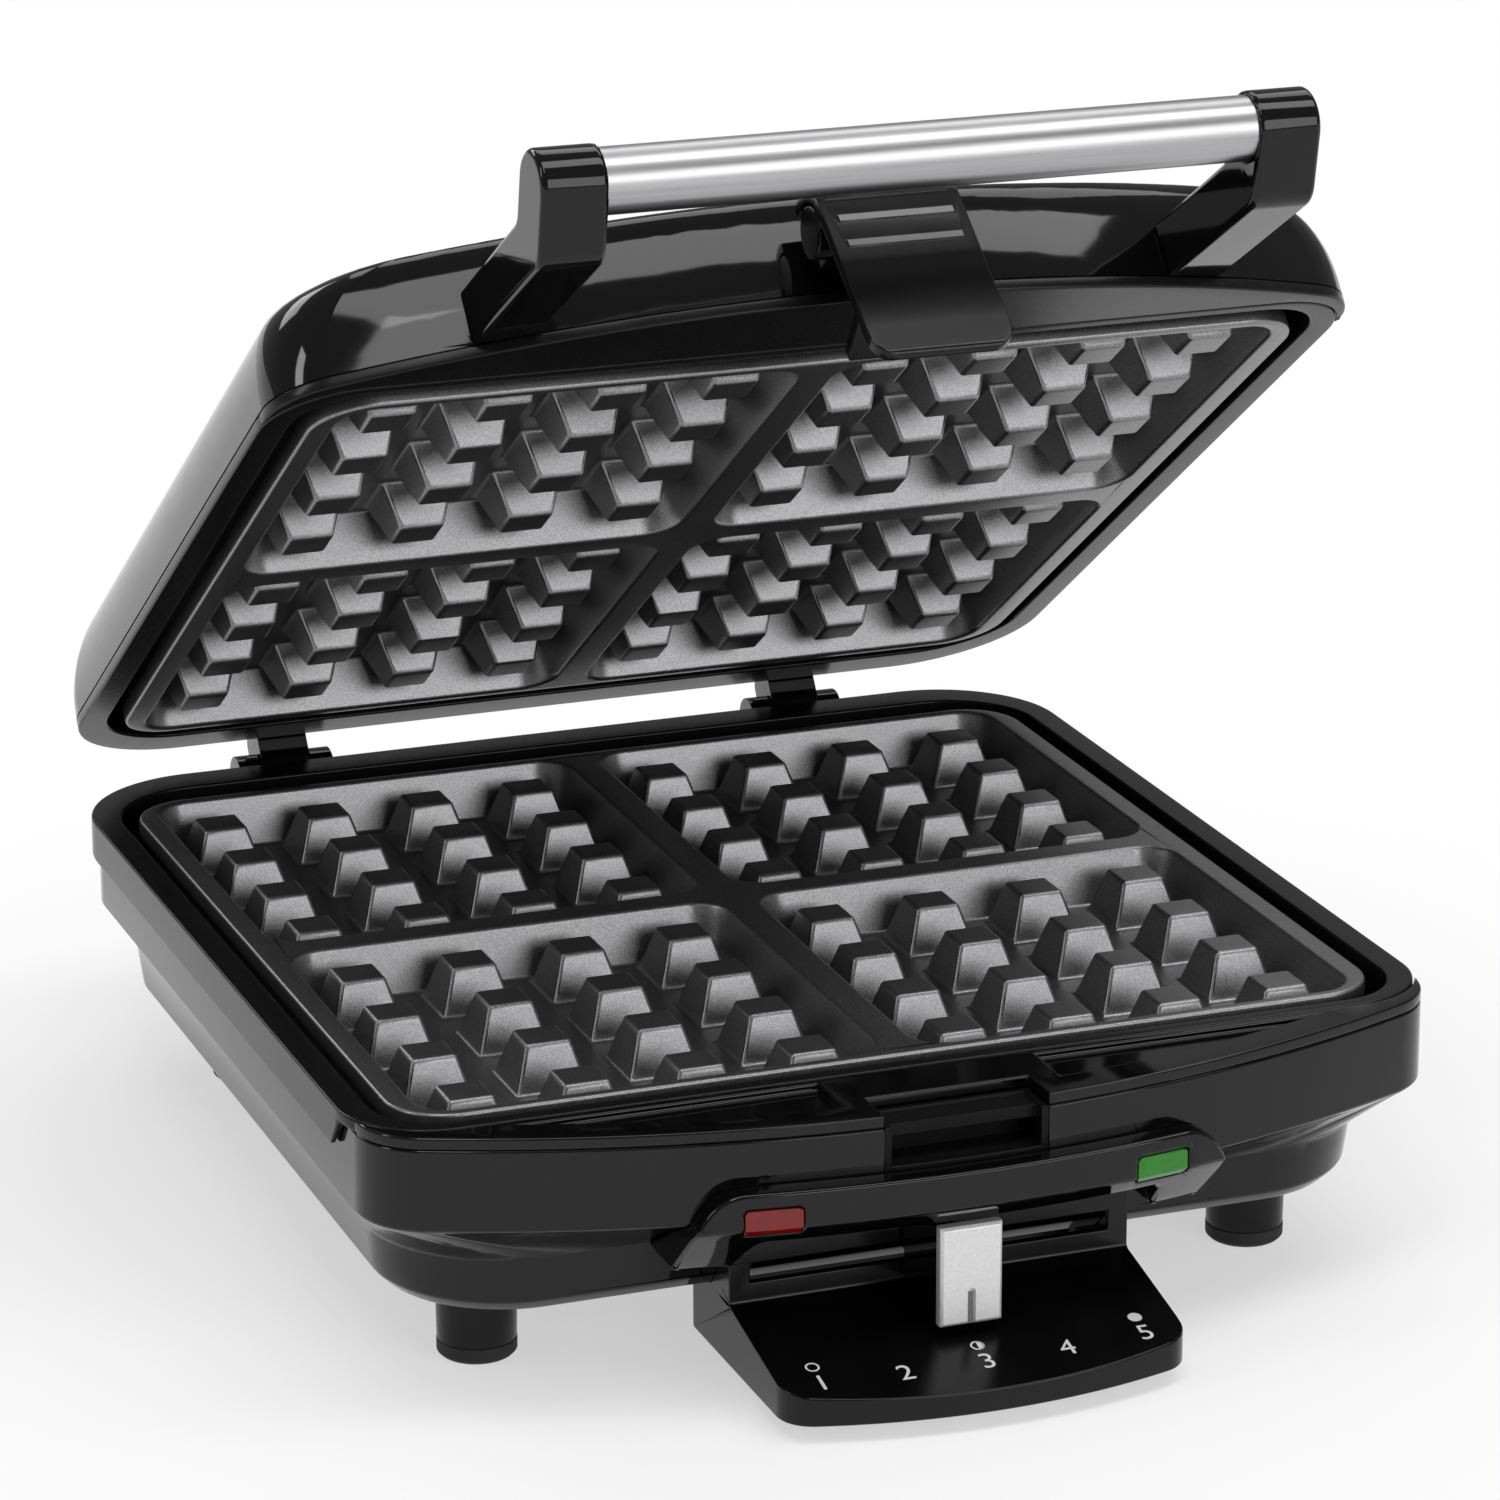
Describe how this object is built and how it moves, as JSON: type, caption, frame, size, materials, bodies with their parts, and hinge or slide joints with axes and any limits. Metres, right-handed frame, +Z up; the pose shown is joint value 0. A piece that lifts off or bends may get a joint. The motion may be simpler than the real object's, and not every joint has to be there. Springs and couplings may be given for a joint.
{
  "type": "waffle maker",
  "caption": "Tabletop waffle maker with hinged lid, square grid plates, bar handle, swinging front latch, browning slider and indicator windows.",
  "frame": {"origin": "on the table under the middle of the grid plates and of the four feet", "axes": "+X to the right seen from the front, +Y to the hinge at the back, +Z up"},
  "size_m": [0.2696, 0.3386, 0.2926],
  "materials": {
    "black_plastic": "polished black",
    "satin_black_plastic": "satin black",
    "nonstick_aluminium": "dark grey non-stick coat",
    "bright_aluminium": "bright sheet",
    "steel": "plain steel",
    "brushed_tube": "brushed tube",
    "silver_plastic": "silver lacquer",
    "red_plastic": "clear tinted",
    "green_plastic": "clear tinted",
    "white_plastic": "moulded",
    "lamp_glass": "clear",
    "rubber": "soft"
  },
  "bodies": {
    "base": {"base_tub": "black_plastic", "base_frame": "satin_black_plastic", "base_front_ledge": "black_plastic", "control_arch": "black_plastic", "red_lens": "red_plastic", "green_lens": "green_plastic", "red_lamp": "lamp_glass", "green_lamp": "lamp_glass", "control_shelf": "satin_black_plastic", "latch_catch": "satin_black_plastic", "lower_plate": "nonstick_aluminium", "lower_element": "steel", "lower_reflector": "bright_aluminium", "thermostat": "steel", "thermal_fuse": "steel", "terminal_block": "white_plastic", "base_screws": "steel", "cord_inlet": "rubber", "hinge_bracket_left": "black_plastic", "hinge_bracket_right": "black_plastic", "hinge_pin_left": "steel", "hinge_pin_right": "steel", "foot_front_left": "satin_black_plastic", "foot_front_right": "satin_black_plastic", "foot_rear_left": "satin_black_plastic", "foot_rear_right": "satin_black_plastic", "foot_pad_front_left": "rubber", "foot_pad_front_right": "rubber", "foot_pad_rear_left": "rubber", "foot_pad_rear_right": "rubber"},
    "lid": {"lid_shell": "black_plastic", "lid_frame": "satin_black_plastic", "lid_front_ledge": "satin_black_plastic", "upper_plate": "nonstick_aluminium", "upper_element": "steel", "upper_reflector": "bright_aluminium", "handle_arm_left": "black_plastic", "handle_arm_right": "black_plastic", "handle_tube": "brushed_tube", "handle_rod": "steel", "lid_knuckle_left": "black_plastic", "lid_knuckle_right": "black_plastic", "latch_bracket": "black_plastic", "latch_pin": "steel"},
    "latch": {"latch_tab": "black_plastic"},
    "slider": {"slider_carrier": "satin_black_plastic", "slider_knob": "silver_plastic"},
    "lever": {"browning_lever": "steel"}
  },
  "joints": [
    {"name": "lid_hinge", "type": "hinge", "parent": "base", "child": "lid", "pos_m": [0, 0.1477, 0.064], "axis": [-1, 0, 0], "range_deg": [-34.7, 65]},
    {"name": "latch_pivot", "type": "hinge", "parent": "lid", "child": "latch", "pos_m": [0, -0.09986, 0.26157], "axis": [-1, 0, 0], "range_deg": [-23.5, 25]},
    {"name": "browning_slide", "type": "slide", "parent": "base", "child": "slider", "axis": [1, 0, 0], "range_m": [-0.04, 0.04]},
    {"name": "lever_turn", "type": "hinge", "parent": "base", "child": "lever", "pos_m": [0, -0.012, 0.03], "axis": [0, 0, 1], "range_deg": [-23.2, 23.2]}
  ],
  "couplings": [
    {"joint": "lever_turn", "follows": "browning_slide", "rad_per_m": 10.058}
  ]
}
